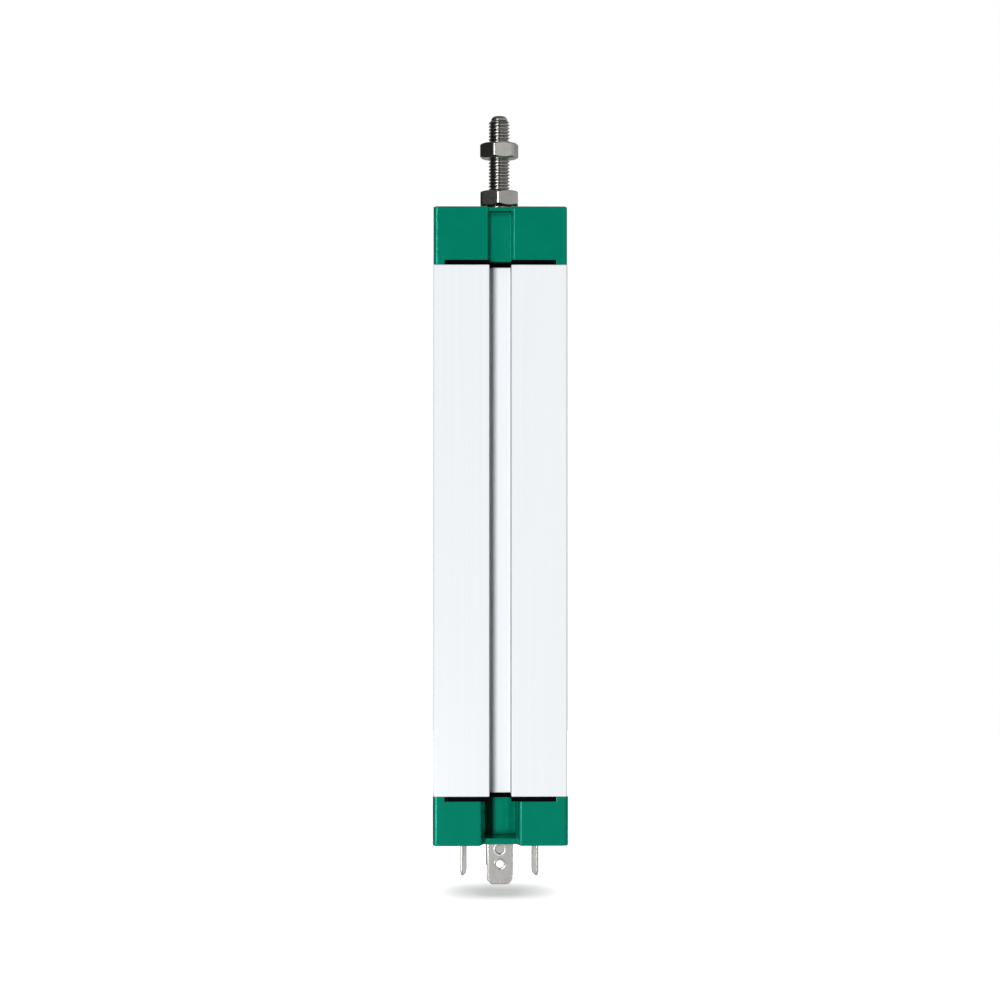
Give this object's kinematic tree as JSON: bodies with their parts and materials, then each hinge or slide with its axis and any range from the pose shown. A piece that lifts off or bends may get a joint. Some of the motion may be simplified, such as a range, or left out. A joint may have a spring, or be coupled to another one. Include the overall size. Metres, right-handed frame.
{
  "type": "linear potentiometer",
  "caption": "Rod-driven linear displacement transducer: aluminium profile with green end caps, a threaded sliding rod with nuts and a plug face with flat blades.",
  "frame": {"origin": "on the rod's axis, half way along the body, where bracket clamps hold the side grooves", "axes": "+Z along the rod and out of the body, -Y out of the grooved front face"},
  "size_m": [0.0318, 0.032, 0.1836],
  "materials": {
    "profile_aluminium": "natural anodised, satin",
    "cap_plastic": "green moulding, fine matt grain",
    "seal_rubber": "black, matt",
    "screw_steel": "zinc plated",
    "rod_steel": "ground, rolled thread",
    "nut_steel": "bright zinc",
    "blade_metal": "tin plated",
    "insert_brass": "turned",
    "bush_bronze": "sintered",
    "board_laminate": "laminate",
    "track_film": "carbon film, matt",
    "carrier_plastic": "black moulding",
    "carriage_plastic": "pale moulding",
    "shoe_plastic": "low friction, dark",
    "spring_alloy": "spring alloy",
    "lead_brown": "sleeved lead",
    "lead_yellow": "sleeved lead",
    "lead_green": "sleeved lead"
  },
  "bodies": {
    "housing": {"housing_profile": "profile_aluminium", "front_cap": "cap_plastic", "rear_cap": "cap_plastic", "front_gasket": "seal_rubber", "rear_gasket": "seal_rubber", "front_cap_screws": "screw_steel", "rear_cap_screws": "screw_steel", "rod_bush": "bush_bronze", "wiper_seal": "seal_rubber", "front_buffer": "seal_rubber", "rear_buffer": "seal_rubber", "element_board": "board_laminate", "resistance_track": "track_film", "collector_track": "track_film", "contact_carrier": "carrier_plastic", "earth_blade": "blade_metal", "earth_rivet": "blade_metal", "contact_blade_1": "blade_metal", "contact_blade_2": "blade_metal", "contact_blade_3": "blade_metal", "centre_insert": "insert_brass", "lead_wire_1": "lead_brown", "lead_wire_2": "lead_yellow", "lead_wire_3": "lead_green"},
    "slider": {"carriage": "carriage_plastic", "guide_shoes": "shoe_plastic", "wiper_springs": "spring_alloy", "retaining_clip": "screw_steel"},
    "rod": {"actuator_rod": "rod_steel", "lower_nut": "nut_steel"},
    "clamp_nut": {"upper_nut": "nut_steel"}
  },
  "joints": [
    {"name": "rod_slide", "type": "slide", "parent": "housing", "child": "slider", "axis": [0, 0, 1], "range_m": [0, 0.08]},
    {"name": "rod_spin", "type": "hinge", "parent": "slider", "child": "rod", "pos_m": [0, 0, 0], "axis": [0, 0, 1], "continuous": true},
    {"name": "nut_travel", "type": "slide", "parent": "rod", "child": "clamp_nut", "axis": [0, 0, 1], "range_m": [-0.0078, 0.0055]}
  ]
}
